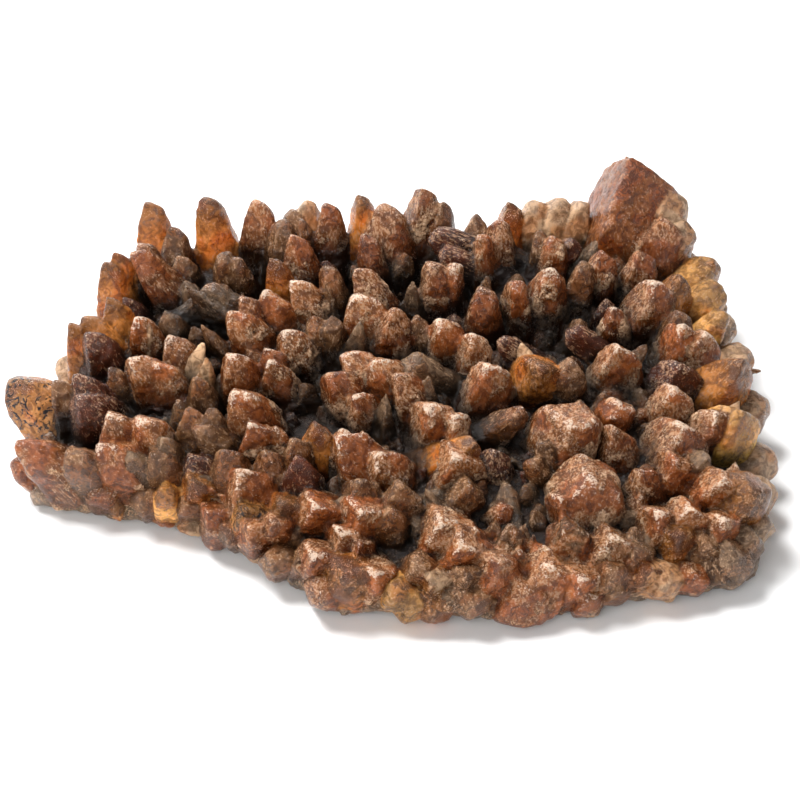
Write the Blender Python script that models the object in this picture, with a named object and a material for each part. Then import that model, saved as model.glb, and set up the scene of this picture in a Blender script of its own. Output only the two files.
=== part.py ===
"""Amber calcite cluster: a broken plate of crust grown over with blunt dogtooth crystals.

One natural piece. Every crystal is a convex solid bounded by flat faces, and all of them are
fused with the crust they grow from. Metres, +Z up, the flat underside rests on Z = 0.
"""
import math
import random
from itertools import combinations

import bmesh
import bpy
import numpy as np
from mathutils import Vector

MM = 0.001

# Driving dimensions, in millimetres: the plate's rings by inset from its edge and height,
# and the middle of the finished cluster, which becomes X = 0, Y = 0
PLATE_RINGS = [(11.0, 0.0), (1.0, 3.0), (0.0, 7.0), (8.0, 14.0), (42.0, 22.0)]
CENTRE_X, CENTRE_Y = -2.785, 7.906

# Crystals: height of their roots, lowest point, and the widths from which a crystal has six
# sides instead of five and a cap on its tip
ROOT_HEIGHT = 7.0
LOWEST_POINT = 1.5
SIX_SIDED_WIDTH = 12.0
CAPPED_WIDTH = 11.0

# Faces: depth below the tip at which a crystal has its full width, in widths, tilt of the cap,
# azimuths of the tip's faces and of a spire's faces, and a spire's length to its width
WAIST = 1.1
CAP_TILT = 80.0
TIP_AZIMUTHS = (60, 180, 300)
SPIRE_AZIMUTHS = (0, 96, 180, 268)
SPIRE_ASPECT = 1.75

# Turn about the axis, in degrees: nearly alike for all, so that one face of each tip is to the
# left and the edge between the other two runs down to the right
SPIN = 60.0
SPIN_SPREAD = 22.0

# Unevenness of the faces: share of the width, then degrees, and the rise of a tip's faces above
# the tip in widths
WIDTH_SPREAD = 0.08
SIDE_TWIST = 5.0
TIP_TWIST = 8.0
TAPER_SPREAD = 2.0
SLOPE_SPREAD = 5.0
SPIRE_SPREAD = 1.5
TIP_RISE = 0.04

# Length a crystal may have beyond its reach in widths
EXTRA_LENGTH = 6.0

# Points closer than this are one point: corners of a crystal, and welds of the fused mesh (m);
# faces that turn by less than this are one face (degrees)
SAME_CORNER = 0.05
MERGE = 0.000001
SAME_FACE = 0.6

# Edge of the broken crust plate, seen from above, counter-clockwise
PLATE = [
    (-118, -4), (-115, -29), (-97, -33), (-62, -42), (-39, -62), (-18, -79), (14, -80),
    (46, -80), (58, -75), (87, -70), (107, -61), (113, -38), (115, -20), (114, 8),
    (112, 42), (107, 66), (100, 84), (76, 92), (54, 86), (10, 81), (-45, 81), (-86, 76),
    (-101, 52), (-110, 24),
]

# Crystal habits: taper of the sides and slope of the tip's faces in degrees, depth of the cap,
# flattening across the axis and greatest length, the last three in widths
HABITS = {
    "tooth": dict(taper=9.0, slope=27.0, cap=0.07, flat=0.90, reach=3.2),
    "stout": dict(taper=9.0, slope=41.0, cap=0.04, flat=0.95, reach=2.2),
    "broad": dict(taper=5.0, slope=32.0, cap=0.01, flat=0.95, reach=2.0),
    "spire": dict(flat=0.62, reach=3.0),
    "lying": dict(taper=2.0, slope=48.0, cap=0.10, flat=0.62, reach=3.2),
}

# Crystals by region: tip x, y, z, width (mm), lean right, lean back (degrees), habit
BACK_ROW = [
    (-85, 75, 47, 14, -6, 6, "tooth"), (-85, 55, 44, 10, -10, 0, "tooth"),
    (-88, 50, 43, 15, -28, 0, "tooth"), (-96, 48, 41, 10, -12, 5, "tooth"),
    (-93, 52, 42, 9, -8, 5, "tooth"), (-76, 66, 43, 10, -5, 5, "tooth"),
    (-70, 34, 43, 9, -45, 0, "spire"), (-66, 74, 50, 15, -8, 6, "tooth"),
    (-49, 75, 48, 12, -4, 6, "tooth"), (-25, 74, 48, 12, 0, 6, "tooth"),
    (-33, 70, 44, 7, 0, 8, "tooth"), (-14, 77, 48, 9, -4, 6, "tooth"),
    (-7, 73, 48, 18, -2, 6, "tooth"), (-13, 59, 45, 11, -10, 0, "tooth"),
    (-36, 57, 46, 13, -8, 4, "tooth"), (-40, 65, 46, 10, -5, 6, "stout"),
    (-42, 44, 45, 9, -12, 0, "tooth"), (-35, 32, 45, 13, -25, -3, "tooth"),
    (-25, 38, 46, 12, -8, 0, "tooth"), (-15, 35, 47, 14, -22, -2, "tooth"),
    (-58, 48, 44, 8, -10, 0, "stout"), (-53, 47, 43, 7, -8, 0, "stout"),
    (-64, 36, 38, 7, -60, 10, "lying"), (-55, 38, 39, 8, 50, 10, "lying"),
    (-57, 33, 41, 5, -8, 0, "spire"), (-50, 33, 41, 5, 2, 0, "spire"),
    (7, 79, 50, 12, 3, 5, "tooth"), (14, 78, 45, 8, 5, 8, "tooth"),
    (36, 77, 46, 10, 5, 6, "tooth"), (25, 72, 44, 9, 10, 8, "tooth"),
    (44, 80, 44, 10, 0, 6, "stout"), (52, 80, 45, 11, 5, 6, "stout"),
    (60, 80, 44, 10, 10, 6, "stout"), (31, 64, 47, 14, 0, 2, "tooth"),
    (25, 57, 46, 11, -4, -2, "tooth"), (49, 56, 46, 10, 4, 2, "tooth"),
    (45, 61, 45, 8, 2, 4, "tooth"), (57, 60, 42, 9, 40, 8, "lying"),
    (58, 42, 45, 9, 6, 0, "tooth"), (46, 36, 47, 14.5, 2, -4, "tooth"),
    (35, 30, 46, 10, -2, -5, "tooth"), (25, 27, 46, 12, 0, -5, "tooth"),
    (9, 39, 47, 12.5, -6, -2, "tooth"), (17, 41, 45, 8, 10, 5, "stout"),
    (28, 36, 46, 7, 5, 0, "spire"), (9, 63, 40, 9, -68, 0, "lying"),
    (12, 56, 38, 8, -64, 0, "lying"), (4, 34, 45, 6, 0, 0, "spire"),
]
BACK_RIGHT = [
    (76, 80, 62, 29, -1, 0, "broad"), (90, 78, 48, 15, 14, 4, "stout"),
    (95, 71, 42, 13, 28, 6, "stout"), (76, 76, 44, 13, -4, 4, "stout"),
    (87, 68, 45, 17, 6, 0, "tooth"), (78, 50, 44, 9, 2, -4, "tooth"),
    (65, 50, 44, 11, 4, -2, "tooth"), (81, 34, 43, 16, 4, -8, "tooth"),
    (67, 25, 40, 7, -5, -5, "tooth"), (90, 40, 41, 11, 14, -4, "tooth"),
    (104, 62, 32, 13, 38, 8, "stout"), (103, 46, 34, 12, 30, 4, "stout"),
    (103, 31, 33, 9, 25, -5, "stout"), (87, 23, 39, 10, 0, -8, "tooth"),
    (87, 14, 40, 13, 0, -14, "tooth"), (95, 13, 38, 13, 12, -14, "tooth"),
    (85, 0, 36, 14, 2, -18, "tooth"), (77, 9, 39, 7, 25, 0, "spire"),
    (67, 3, 40, 14, 3, -14, "tooth"), (66, -17, 33, 10, 10, -25, "stout"),
    (82, -14, 38, 12, 2, -14, "tooth"), (105, 1, 37, 15, 20, -12, "tooth"),
    (104, -10, 31, 9, 25, 0, "spire"),
]
LEFT_FLANK = [
    (-93, 31, 39, 9, -12, 0, "tooth"), (-101, 25, 36, 10, -30, 0, "tooth"),
    (-104, 21, 36, 9, -12, -4, "tooth"), (-98, 14, 38, 13, -15, -8, "tooth"),
    (-121, -2, 31, 17, -42, 0, "tooth"), (-105, -9, 36, 9, -15, -5, "tooth"),
    (-99, -8, 38, 12, -20, -5, "tooth"), (-97, -17, 37, 15.5, -16, -18, "tooth"),
    (-89, -3, 37, 7, -15, -5, "tooth"), (-83, 0, 39, 15, -18, -10, "tooth"),
    (-76, -1, 37, 13, -14, -10, "tooth"), (-83, 21, 39, 11, -10, -5, "tooth"),
    (-78, 20, 38, 5, 10, 0, "spire"), (-72, 11, 39, 13.5, -12, -5, "tooth"),
    (-62, -9, 38, 9, -8, -5, "tooth"), (-63, -23, 37, 8, -5, 0, "tooth"),
    (-67, -15, 34, 6, 0, 0, "tooth"), (-86, -27, 38, 10, -12, -15, "tooth"),
    (-77, -28, 37, 12, -12, -15, "tooth"), (-70, -33, 34, 6, -10, -10, "tooth"),
    (-62, -28, 34, 10, -40, -10, "tooth"), (-57, -24, 38, 6, -10, 0, "tooth"),
    (-115, -28, 28, 15, -38, -12, "tooth"), (-98, -36, 30, 11, -25, -25, "tooth"),
    (-89, -34, 31, 15, -30, -25, "tooth"), (-80, -35, 30, 7, -15, -15, "tooth"),
    (-73, -37, 31, 10, -15, -25, "tooth"), (-62, -37, 30, 10, -10, -20, "tooth"),
    (-69, -44, 22, 7, 0, -35, "stout"), (-61, -45, 27, 10, -10, -35, "tooth"),
    (-59, -41, 28, 7, -35, -10, "spire"), (-56, -45, 26, 6, -20, -20, "spire"),
    (-52, -46, 25, 6, 0, -20, "spire"),
]
MIDDLE = [
    (-54, 19, 43, 13, -25, -5, "tooth"), (-63, 16, 41, 8, -30, 0, "spire"),
    (-60, 9, 40, 5, 20, 10, "spire"), (-59, 3, 39, 5, 5, 5, "spire"),
    (-50, 24, 44, 9, -15, -2, "tooth"), (-43, 28, 44, 12, -18, -4, "tooth"),
    (-27, 16, 43, 8, -5, 0, "tooth"), (-21, 16, 43, 7, 3, 0, "tooth"),
    (-15, 23, 46, 16, -18, -6, "tooth"), (-12, 11, 46, 9, 6, 0, "spire"),
    (-2, 16, 46, 12, 4, -5, "tooth"), (-36, 9, 42, 13, -14, -12, "tooth"),
    (-41, 1, 41, 8, -14, -12, "tooth"), (-40, -5, 41, 9, -12, -10, "tooth"),
    (-52, -3, 42, 12.5, -10, -10, "tooth"), (-18, -3, 42, 14, -30, -10, "tooth"),
    (-9, -5, 41, 12, -30, -8, "tooth"), (-22, -11, 41, 12, -22, -15, "tooth"),
    (-14, -17, 37, 11, -15, -15, "tooth"), (-4, -19, 41, 8, 5, 0, "spire"),
    (-2, -13, 42, 13, -20, -10, "tooth"), (-50, -22, 42, 14.5, -20, -15, "tooth"),
    (-44, -34, 40, 10, -8, -18, "tooth"), (-37, -32, 37, 7, 0, -15, "tooth"),
    (-25, -33, 38, 9.5, 0, -12, "tooth"), (-31, -38, 37, 8.5, -5, -12, "tooth"),
    (-17, -33, 37, 8, 0, -5, "tooth"), (-11, -34, 37, 8, 5, -5, "tooth"),
    (5, 20, 40, 9, 0, 0, "tooth"), (12, 14, 43, 12, -12, -8, "tooth"),
    (22, 8, 42, 10.5, 4, -8, "tooth"), (30, 13, 35, 5.5, -55, 0, "lying"),
    (36, 9, 40, 6, -22, 5, "spire"), (42, -9, 42, 14, 0, -36, "tooth"),
    (52, -4, 41, 11.5, 12, -8, "tooth"), (52, 17, 36, 7, -50, 5, "lying"),
    (26, -9, 43, 15, 0, -12, "tooth"), (36, -23, 36, 7, 32, -15, "stout"),
    (9, -11, 42, 7, 5, 0, "spire"), (8, -27, 41, 14, -6, -22, "tooth"),
    (16, -29, 39, 10, 5, -20, "tooth"), (22, -40, 37, 8.5, 34, -28, "tooth"),
    (54, -22, 41, 8, 15, 0, "spire"), (50, -36, 40, 19, 0, -38, "stout"),
    (40, -38, 36, 6, -25, -15, "tooth"), (37, -44, 34, 6, -25, -25, "tooth"),
    (0, -2, 38, 10, -48, -5, "lying"),
]
FRONT = [
    (-18, -37, 37, 15, -22, -14, "tooth"), (-7, -41, 34, 13, -15, -18, "tooth"),
    (-51, -40, 35, 9, -5, -10, "tooth"), (-39, -41, 35, 9, -5, -8, "tooth"),
    (-30, -43, 35, 9, -4, -8, "tooth"), (-46, -48, 34, 12.5, -8, -18, "tooth"),
    (-12, -51, 33, 10.5, 0, -12, "tooth"), (0, -55, 34, 9.5, 0, -18, "tooth"),
    (-15, -53, 30, 7, 25, -5, "spire"), (-24, -60, 30, 12.5, -3, -40, "tooth"),
    (-11, -63, 31, 12.5, -3, -38, "tooth"), (-3, -60, 29, 7.5, 0, -15, "tooth"),
    (-34, -57, 29, 12, -5, -30, "tooth"), (-36, -62, 27, 8.5, -5, -40, "tooth"),
    (-45, -56, 27, 11, -8, -35, "tooth"), (-56, -52, 22, 12, -15, -35, "tooth"),
    (-43, -62, 24, 10, -10, -42, "tooth"), (-17, -67, 27, 11, -5, -30, "tooth"),
    (-11, -69, 25, 9, 8, -30, "tooth"), (-24, -75, 25, 11, -8, -40, "tooth"),
    (-29, -68, 19, 7, -10, -30, "tooth"), (-15, -79, 22, 13.5, 4, -42, "stout"),
    (-7, -79, 22, 11, 5, -40, "tooth"), (16, -46, 37, 14, -2, -32, "tooth"),
    (20, -52, 31, 11, 15, -32, "tooth"), (6, -54, 34, 7, -28, 0, "spire"),
    (27, -38, 33, 10, 0, -10, "tooth"), (12, -66, 31, 17, -4, -30, "tooth"),
    (21, -66, 27, 10, 15, -25, "tooth"), (17, -74, 28, 14, 0, -40, "tooth"),
    (23, -70, 25, 9, 15, -35, "tooth"), (28, -77, 25, 13, 15, -30, "tooth"),
    (4, -77, 24, 9, -5, -38, "tooth"), (34, -80, 17, 17, 0, -40, "stout"),
    (42, -76, 22, 17, 5, -32, "stout"), (51, -78, 19, 12.5, 8, -40, "tooth"),
    (34, -70, 22, 7.5, 0, -10, "tooth"), (34, -63, 24, 6, 0, 0, "spire"),
    (38, -64, 25, 6.5, 0, 0, "spire"), (41, -69, 24, 6, 5, 0, "spire"),
    (47, -64, 28, 10, -10, -15, "tooth"), (31, -64, 27, 7, 0, -5, "tooth"),
    (54, -55, 36, 19, 2, -30, "stout"), (45, -58, 32, 12, -18, -25, "tooth"),
    (55, -49, 37, 5, 0, 5, "spire"), (63, -30, 35, 12, -2, -12, "tooth"),
    (99, -38, 30, 9, 5, -10, "spire"), (94, -23, 35, 12, 5, -22, "tooth"),
    (102, -22, 35, 14.5, 16, -18, "tooth"), (83, -30, 35, 17, 2, -24, "tooth"),
    (90, -38, 31, 11, 30, -20, "tooth"), (80, -41, 32, 14.5, -4, -30, "tooth"),
    (70, -45, 31, 9, -12, -20, "tooth"), (93, -50, 31, 13.5, 2, -32, "tooth"),
    (102, -52, 29, 15, 18, -38, "stout"), (93, -60, 25, 10, 8, -35, "tooth"),
    (74, -60, 28, 12.5, 0, -30, "tooth"), (83, -58, 28, 12, 5, -28, "tooth"),
    (60, -68, 26, 13.5, -2, -28, "tooth"), (67, -69, 22, 9, 0, -30, "tooth"),
    (79, -66, 24, 11.5, 2, -40, "tooth"), (88, -65, 20, 12, 12, -40, "tooth"),
]
RIM = [
    (-111, 30, 15, 12, -52, 0, "stout"), (-113, 17, 13, 10, -55, -4, "stout"),
    (-109, 6, 17, 11, -45, -4, "stout"), (-118, -22, 15, 11, -50, -20, "stout"),
    (-102, 46, 18, 12, -45, 15, "stout"), (-90, 68, 22, 12, -25, 30, "stout"),
    (-1, -81, 16, 9, -5, -52, "stout"), (4, -82, 14, 6.5, 4, -52, "stout"),
    (3, -82, 10, 8, 0, -62, "stout"), (10, -82, 11, 9, 0, -58, "stout"),
    (9, -80, 20, 10.5, 0, -46, "tooth"), (19, -79, 22, 10, 0, -42, "tooth"),
    (14, -82, 14, 7, 0, -55, "stout"), (21, -83, 14, 10, 2, -58, "stout"),
    (60, -75, 20, 10, 0, -35, "tooth"), (70, -73, 18, 9.5, 0, -42, "tooth"),
    (76, -73, 14, 10, 0, -50, "stout"), (84, -71, 13, 10, 5, -50, "stout"),
    (61, -76, 12, 7, 0, -50, "tooth"), (53, -78, 12, 8, 0, -45, "stout"),
    (97, -66, 16, 13, 22, -40, "stout"), (103, -58, 16, 12, 38, -30, "stout"),
    (-63, -45, 18, 8, -10, -45, "stout"), (-50, -55, 17, 9, -15, -48, "stout"),
    (-36, -67, 16, 9, -12, -48, "stout"), (-22, -79, 15, 11, -8, -55, "stout"),
    (-90, -37, 17, 9, -15, -48, "stout"), (-76, -41, 16, 9, -10, -48, "stout"),
    (114, -18, 15, 13, 56, 0, "stout"), (112, -33, 14, 14, 52, -12, "stout"),
    (108, -47, 14, 13, 44, -26, "stout"), (114, 2, 20, 13, 46, 0, "stout"),
    (112, 26, 22, 10, 48, 2, "stout"), (108, 40, 24, 10, 42, 6, "stout"),
    (107, 60, 20, 12, 45, 14, "stout"), (98, 81, 24, 13, 30, 28, "stout"),
    (68, 88, 24, 13, 0, 35, "stout"), (34, 82, 24, 13, 0, 35, "stout"),
    (-8, 79, 24, 13, 0, 32, "stout"), (-38, 79, 24, 13, -4, 32, "stout"),
    (-66, 77, 24, 13, -10, 32, "stout"), (15, 80, 22, 12, 4, 36, "stout"),
    (-31, 80, 44, 7, -2, 8, "stout"), (-36, 78, 42, 8, -4, 8, "stout"),
]
# Fullness of each region, as a factor on the widths above, and how far its tips are skewed to
# the left of the crystals' axes, in degrees
REGIONS = [
    (BACK_ROW, 1.16, 16), (BACK_RIGHT, 1.22, 4), (LEFT_FLANK, 1.2, 8), (MIDDLE, 1.22, 6),
    (FRONT, 1.3, 3), (RIM, 1.3, 0),
]
CRYSTALS = [
    (x, y, z, width * fullness, lean_right, lean_back, habit, skew)
    for rows, fullness, skew in REGIONS
    for x, y, z, width, lean_right, lean_back, habit in rows
]


def direction(lean_right, lean_back):
    """Unit axis of a crystal from its two leans, in degrees."""
    axis = np.array([math.tan(math.radians(lean_right)), math.tan(math.radians(lean_back)), 1.0])
    return axis / np.linalg.norm(axis)


def crystal_faces(index, row):
    """Faces of one crystal as outward normals and offsets, in millimetres."""
    x, y, z, width, lean_right, lean_back, habit, skew = row
    rule = HABITS[habit]
    chance = random.Random(index * 31 + 7)
    tip = np.array([x, y, z], float)
    axis = direction(lean_right, lean_back)
    tip_axis = direction(lean_right - skew, lean_back)
    spin = SPIN + chance.uniform(-SPIN_SPREAD, SPIN_SPREAD)
    faces = []

    def add(azimuth, tilt, distance=0.0, depth=0.0, about=axis):
        """Face turned to an azimuth and tilted up, through a point beside the axis."""
        across = np.cross(about, [0.0, 1.0, 0.0])
        across /= np.linalg.norm(across)
        up = np.cross(about, across)
        a, t = math.radians(azimuth), math.radians(tilt)
        out = math.cos(a) * across + math.sin(a) * up
        normal = math.cos(t) * out + math.sin(t) * about
        faces.append((normal, float(normal @ (tip - depth * about + distance * out))))

    if habit == "spire":
        for turn in SPIRE_AZIMUTHS:
            far = rule["flat"] if turn % 180 == 0 else 1.0
            tilt = math.degrees(math.atan(0.5 * far / SPIRE_ASPECT))
            tilt += chance.uniform(-SPIRE_SPREAD, SPIRE_SPREAD)
            add(spin + turn + chance.uniform(-TIP_TWIST, TIP_TWIST), tilt)
    else:
        sides = 6 if width >= SIX_SIDED_WIDTH else 5
        for side in range(sides):
            far = 0.5 * width * chance.uniform(1 - WIDTH_SPREAD, 1 + WIDTH_SPREAD)
            if side % 3 == 0:
                far *= rule["flat"]
            turn = spin + 30 + 360 * side / sides + chance.uniform(-SIDE_TWIST, SIDE_TWIST)
            taper = rule["taper"] + chance.uniform(-TAPER_SPREAD, TAPER_SPREAD)
            add(turn, taper, far, WAIST * width)
        for turn in TIP_AZIMUTHS:
            azimuth = spin + turn + chance.uniform(-TIP_TWIST, TIP_TWIST)
            slope = rule["slope"] + chance.uniform(-SLOPE_SPREAD, SLOPE_SPREAD)
            add(azimuth, slope, depth=-TIP_RISE * width * chance.random(), about=tip_axis)
        if width >= CAPPED_WIDTH:
            cap_azimuth = chance.uniform(0, 360)
            add(cap_azimuth, CAP_TILT, depth=rule["cap"] * width, about=tip_axis)

    length = min((z - ROOT_HEIGHT) / axis[2], rule["reach"] * width + EXTRA_LENGTH)
    faces.append((-axis, float(-axis @ (tip - length * axis))))
    faces.append((np.array([0.0, 0.0, -1.0]), -LOWEST_POINT))
    return faces


def corners(faces):
    """Corner points where three faces meet and no other face cuts them off."""
    normals = np.array([normal for normal, _ in faces])
    offsets = np.array([offset for _, offset in faces])
    found = []
    for trio in combinations(range(len(faces)), 3):
        matrix = normals[list(trio)]
        if abs(np.linalg.det(matrix)) < 1e-4:
            continue
        point = np.linalg.solve(matrix, offsets[list(trio)])
        if np.all(normals @ point <= offsets + 1e-6):
            if all(np.linalg.norm(point - other) > SAME_CORNER for other in found):
                found.append(point)
    return found


def object_from(name, work, material):
    """Scene object with one material from a finished working mesh."""
    mesh = bpy.data.meshes.new(name)
    work.to_mesh(mesh)
    work.free()
    mesh.materials.append(material)
    made = bpy.data.objects.new(name, mesh)
    bpy.context.scene.collection.objects.link(made)
    return made


def crystal(index, row, material):
    """One crystal as a convex solid with flat faces."""
    work = bmesh.new()
    for point in corners(crystal_faces(index, row)):
        work.verts.new(Vector(point) * MM)
    hull = bmesh.ops.convex_hull(work, input=work.verts)
    spare = [item for item in hull["geom_interior"] if isinstance(item, bmesh.types.BMVert)]
    bmesh.ops.delete(work, geom=spare, context="VERTS")
    bmesh.ops.dissolve_limit(work, angle_limit=math.radians(SAME_FACE), verts=work.verts,
                             edges=work.edges)
    return object_from(f"crystal_{index:03d}", work, material)


def plate_ring(inset, height):
    """The plate's edge drawn in towards its middle, at one height."""
    ring = []
    for x, y in PLATE:
        reach = math.hypot(x, y)
        scale = (reach - inset) / reach
        ring.append((x * scale, y * scale, height))
    return ring


def plate(name, material):
    """Crust the crystals grow from: flat foot, flared rim and a gently domed top."""
    rings = [plate_ring(inset, height) for inset, height in PLATE_RINGS]
    work = bmesh.new()
    loops = [[work.verts.new(Vector(point) * MM) for point in ring] for ring in rings]
    count = len(PLATE)
    work.faces.new(list(reversed(loops[0])))
    for low, high in zip(loops, loops[1:]):
        for i in range(count):
            j = (i + 1) % count
            work.faces.new((low[i], low[j], high[j]))
            work.faces.new((low[i], high[j], high[i]))
    work.faces.new(loops[-1])
    bmesh.ops.recalc_face_normals(work, faces=work.faces)
    return object_from(name, work, material)


def fuse(body, crystals):
    """Join the plate and all crystals in one closed solid."""
    group = bpy.data.collections.new("crystal_growth")
    bpy.context.scene.collection.children.link(group)
    for made in crystals:
        bpy.context.scene.collection.objects.unlink(made)
        group.objects.link(made)
        made.hide_render = True
        made.display_type = "WIRE"
    union = body.modifiers.new("growth", "BOOLEAN")
    union.operation = "UNION"
    union.solver = "EXACT"
    union.operand_type = "COLLECTION"
    union.collection = group
    view = bpy.context.evaluated_depsgraph_get()
    mesh = bpy.data.meshes.new_from_object(body.evaluated_get(view))
    body.modifiers.clear()
    body.data = mesh
    for made in crystals:
        bpy.data.objects.remove(made, do_unlink=True)
    bpy.data.collections.remove(group)


def islands(work):
    """Face groups of the fused mesh that share no edge with each other."""
    left = set(work.faces)
    groups = []
    while left:
        stack = [left.pop()]
        group = list(stack)
        while stack:
            for edge in stack.pop().edges:
                for face in edge.link_faces:
                    if face in left:
                        left.remove(face)
                        stack.append(face)
                        group.append(face)
        groups.append(group)
    return groups


def clean(body):
    """Keep the outer skin, weld stray points and drop needle-thin faces."""
    work = bmesh.new()
    work.from_mesh(body.data)
    bmesh.ops.remove_doubles(work, verts=work.verts, dist=MERGE)
    groups = sorted(islands(work), key=len)
    for group in groups[:-1]:
        bmesh.ops.delete(work, geom=group, context="FACES")
    bmesh.ops.dissolve_degenerate(work, dist=MERGE, edges=work.edges)
    bmesh.ops.triangulate(work, faces=work.faces)
    bmesh.ops.translate(work, vec=Vector((-CENTRE_X, -CENTRE_Y, 0)) * MM, verts=work.verts)
    bmesh.ops.recalc_face_normals(work, faces=work.faces)
    work.to_mesh(body.data)
    work.free()


for old in list(bpy.data.objects):
    bpy.data.objects.remove(old, do_unlink=True)

amber = bpy.data.materials.new("amber_calcite")
amber.use_nodes = True
surface = amber.node_tree.nodes["Principled BSDF"]
surface.inputs["Base Color"].default_value = (0.30, 0.13, 0.05, 1.0)
surface.inputs["Roughness"].default_value = 0.45
surface.inputs["IOR"].default_value = 1.6

cluster = plate("calcite_cluster", amber)
fuse(cluster, [crystal(index, row, amber) for index, row in enumerate(CRYSTALS)])
clean(cluster)
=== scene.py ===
"""Looks of the amber calcite cluster: rounded, frosted and pitted crystals grown from broken crust, with
painted highlight, glow and shade.

Tables and shape work are in millimetres, in the frame of the part's own table. The finished
meshes are in metres, moved so that the middle of the cluster is at X = 0, Y = 0.
"""

import math
import random

import bmesh
import bpy
import numpy as np
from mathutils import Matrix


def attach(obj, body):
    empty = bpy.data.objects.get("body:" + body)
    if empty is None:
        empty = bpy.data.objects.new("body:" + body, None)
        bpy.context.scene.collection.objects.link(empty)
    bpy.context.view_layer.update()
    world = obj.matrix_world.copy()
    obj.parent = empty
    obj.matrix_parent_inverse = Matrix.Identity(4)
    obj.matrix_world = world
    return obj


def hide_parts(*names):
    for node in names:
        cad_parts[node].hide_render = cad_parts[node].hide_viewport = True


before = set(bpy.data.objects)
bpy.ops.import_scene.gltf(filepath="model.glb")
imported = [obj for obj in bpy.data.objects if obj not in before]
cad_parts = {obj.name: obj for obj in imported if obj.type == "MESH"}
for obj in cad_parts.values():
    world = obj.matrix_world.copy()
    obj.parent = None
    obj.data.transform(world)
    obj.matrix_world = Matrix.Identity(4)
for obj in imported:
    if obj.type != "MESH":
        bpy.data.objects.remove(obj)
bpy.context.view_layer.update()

MM = 0.001
CENTRE = np.array([-2.785, 7.906, 0.0])

# Photograph: view from above the front, in degrees and millimetres
CAMERA_ELEVATION = 38.0
CAMERA_DISTANCE = 620.0
CAMERA_LENS = 90.0
CAMERA_SENSOR = 36.0
CAMERA_HEIGHT = 22.0

# Fineness of the fused surfaces
CRYSTAL_VOXEL = 0.60
CRUST_VOXEL = 1.5
MOST_TRIANGLES = 174000
KEPT_SHARE = 0.55

# The part's own rule for a crystal, repeated here so that each one stays where its solid is
PLATE_RINGS = [(11.0, 0.0), (1.0, 3.0), (0.0, 7.0), (8.0, 14.0), (42.0, 22.0)]
ROOT_HEIGHT = 7.0
LOWEST_POINT = 1.5
SIX_SIDED_WIDTH = 12.0
CAPPED_WIDTH = 11.0
WAIST = 1.1
CAP_TILT = 80.0
TIP_AZIMUTHS = (60, 180, 300)
SPIRE_AZIMUTHS = (0, 96, 180, 268)
SPIRE_ASPECT = 1.75
WIDTH_SPREAD = 0.08
SPIN = 60.0
SPIN_SPREAD = 22.0
TIP_LIFT = 0.07
SIDE_TWIST = 5.0
TIP_TWIST = 8.0
TAPER_SPREAD = 2.0
SLOPE_SPREAD = 5.0
SPIRE_SPREAD = 1.5
TIP_RISE = 0.04
EXTRA_LENGTH = 6.0

# Numbers that the crystals beside the tables start from: each seeds its crystal's shape
GAP_NUMBER = 1000
OFFSHOOT_NUMBER = 2000
OFFSHOOT_STEP = 300
LITTLE_NUMBER = 4000
CHIP_NUMBER = 7000

# Crystals of the front and the right have flatter faces
SHARPER = 9
SHARP_Y, SHARP_X = -30.0, 60.0
CHIP_CRISP = 30

# Surface of one crystal: stretch of the ball it is drawn from, swelling and ripple
STRETCH = 1.5
SWELLING = 1.03
RIPPLE = 0.022
RIPPLE_COUNT = 1.6

PLATE = [
    (-118, -4), (-115, -29), (-97, -33), (-62, -42), (-39, -62), (-18, -79), (14, -80),
    (46, -80), (58, -75), (87, -70), (107, -61), (113, -38), (115, -20), (114, 8),
    (112, 42), (107, 66), (100, 84), (76, 92), (54, 86), (10, 81), (-45, 81), (-86, 76),
    (-101, 52), (-110, 24),
]

# Habits: taper and slope in degrees, cap, flattening and reach in widths, and how crisp the
# edges are (the power of the soft maximum over the faces)
HABITS = {
    "tooth": dict(taper=9.0, slope=27.0, cap=0.07, flat=0.90, reach=3.2, crisp=12),
    "stout": dict(taper=9.0, slope=41.0, cap=0.04, flat=0.95, reach=2.2, crisp=14),
    "broad": dict(taper=5.0, slope=32.0, cap=0.01, flat=0.95, reach=2.0, crisp=26),
    "block": dict(taper=9.0, slope=41.0, cap=0.04, flat=0.95, reach=2.2, crisp=44),
    "spire": dict(flat=0.62, reach=3.0, crisp=26),
    "lying": dict(taper=2.0, slope=48.0, cap=0.10, flat=0.62, reach=3.2, crisp=20),
}

# Tones: base colour (linear light), then how clear the crystal is, how much tan crust, white frost and
# painted highlight at the tip and black specks it has, and how much painted glow it shows towards the root
TONE_KEYS = ("base", "clear", "crust", "frost_and_highlight", "specks", "painted_glow")
TONES = {
    "A": ((0.50, 0.185, 0.034), 0.45, 0.12, 0.35, 0.35, 1.0),
    "B": ((0.175, 0.055, 0.012), 0.30, 0.04, 0.35, 0.30, 0.3),
    "D": ((0.66, 0.290, 0.070), 0.50, -0.10, 0.20, 1.0, 1.0),
    "R": ((0.170, 0.058, 0.016), 0.20, 0.44, 0.60, 0.15, 0.0),
    "F": ((0.186, 0.066, 0.019), 0.14, 0.62, 1.00, 0.05, 0.0),
    "O": ((0.140, 0.066, 0.027), 0.26, 0.20, 0.45, 0.10, 0.0),
    "G": ((0.160, 0.100, 0.058), 0.30, 0.05, 0.35, 0.05, 0.0),
    "M": ((0.080, 0.024, 0.011), 0.28, 0.36, 0.55, 0.15, 0.0),
    "Y": ((0.82, 0.41, 0.11), 0.32, 0.05, 0.15, 0.40, 1.0),
    "P": ((0.56, 0.37, 0.22), 0.35, 0.20, 0.30, 0.25, 0.5),
}

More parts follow.
